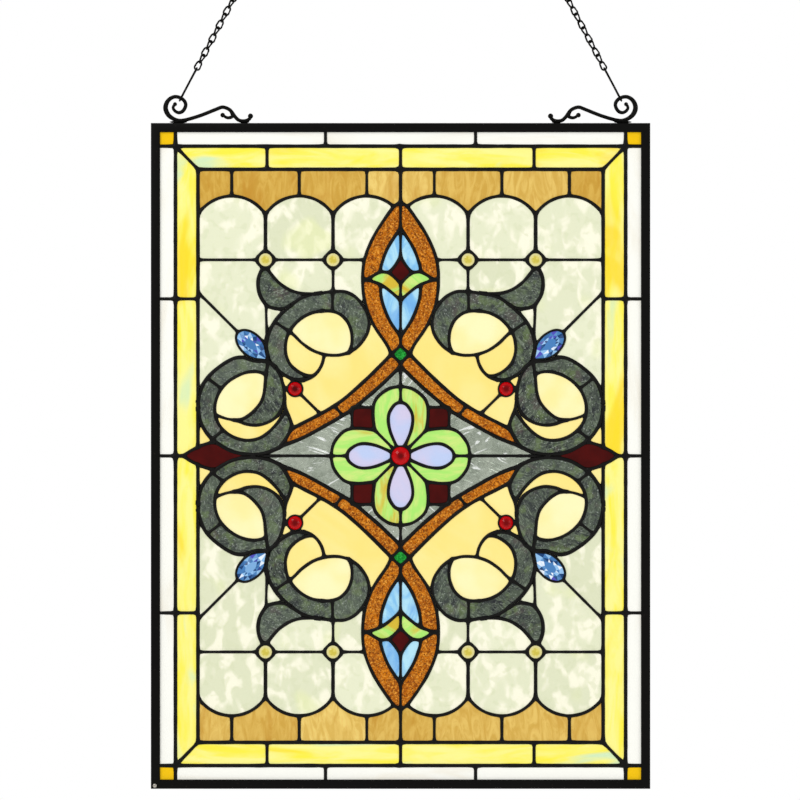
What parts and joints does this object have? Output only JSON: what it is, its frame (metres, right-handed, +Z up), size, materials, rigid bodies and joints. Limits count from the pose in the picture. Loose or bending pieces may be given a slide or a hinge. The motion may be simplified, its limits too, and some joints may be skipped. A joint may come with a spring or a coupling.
{
  "type": "stained glass window",
  "caption": "Upright hanging panel of coloured leaded glass with a symmetrical ornament, jewels, a black metal frame, wire scrolls and hanging chains.",
  "frame": {"origin": "midway between the centres of the two end rings, at the free ends of the chains, that the panel hangs from", "axes": "+X to the right as seen from the front, +Z up, the front faces -Y"},
  "size_m": [0.4572, 0.0094, 0.7455],
  "materials": {
    "amber_glass": "hammered amber",
    "black_metal": "black patina, satin",
    "blue_glass": "rippled pale blue",
    "blue_jewel": "cut and polished",
    "emerald_glass": "hammered green",
    "field_glass": "mottled cream opalescent",
    "garnet_glass": "smooth dark red",
    "gold_jewel": "cut and polished",
    "green_glass": "streaky pale green opalescent",
    "lead": "black patina on solder, satin",
    "lilac_glass": "streaky lilac opalescent",
    "ripple_glass": "clear, rippled",
    "ruby_jewel": "cut and polished",
    "tan_glass": "wispy tan opalescent",
    "white_glass": "white opalescent",
    "yellow_glass": "streaky yellow opalescent"
  },
  "bodies": {
    "root": {"centre_jewel": "ruby_jewel", "frame": "black_metal", "lead_net": "lead", "left_chain": "black_metal", "left_hook": "black_metal", "left_leaf_glass": "garnet_glass", "left_lower_corner_block_glass": "garnet_glass", "left_lower_field_glass": "field_glass", "left_lower_inner_gold_jewel": "gold_jewel", "left_lower_outer_gold_jewel": "gold_jewel", "left_lower_ruby_jewel": "ruby_jewel", "left_lower_teardrop_jewel": "blue_jewel", "left_petal_glass": "lilac_glass", "left_ripple_glass": "ripple_glass", "left_scroll": "black_metal", "left_upper_corner_block_glass": "garnet_glass", "left_upper_field_glass": "field_glass", "left_upper_inner_gold_jewel": "gold_jewel", "left_upper_outer_gold_jewel": "gold_jewel", "left_upper_ruby_jewel": "ruby_jewel", "left_upper_teardrop_jewel": "blue_jewel", "lobe_glass": "green_glass", "lower_almond_glass": "amber_glass", "lower_emerald_glass": "emerald_glass", "lower_heart_blue_glass": "blue_glass", "lower_heart_drop_glass": "blue_glass", "lower_heart_leaf_glass": "green_glass", "lower_petal_glass": "lilac_glass", "lower_ribbon_glass": "amber_glass", "lower_ripple_glass": "ripple_glass", "lower_tan_row_glass": "tan_glass", "right_chain": "black_metal", "right_hook": "black_metal", "right_leaf_glass": "garnet_glass", "right_lower_corner_block_glass": "garnet_glass", "right_lower_field_glass": "field_glass", "right_lower_inner_gold_jewel": "gold_jewel", "right_lower_outer_gold_jewel": "gold_jewel", "right_lower_ruby_jewel": "ruby_jewel", "right_lower_teardrop_jewel": "blue_jewel", "right_petal_glass": "lilac_glass", "right_ripple_glass": "ripple_glass", "right_scroll": "black_metal", "right_upper_corner_block_glass": "garnet_glass", "right_upper_field_glass": "field_glass", "right_upper_inner_gold_jewel": "gold_jewel", "right_upper_outer_gold_jewel": "gold_jewel", "right_upper_ruby_jewel": "ruby_jewel", "right_upper_teardrop_jewel": "blue_jewel", "upper_almond_glass": "amber_glass", "upper_emerald_glass": "emerald_glass", "upper_heart_blue_glass": "blue_glass", "upper_heart_drop_glass": "blue_glass", "upper_heart_leaf_glass": "green_glass", "upper_petal_glass": "lilac_glass", "upper_ribbon_glass": "amber_glass", "upper_ripple_glass": "ripple_glass", "upper_tan_row_glass": "tan_glass", "white_border_glass": "white_glass", "yellow_border_glass": "yellow_glass"}
  },
  "joints": []
}
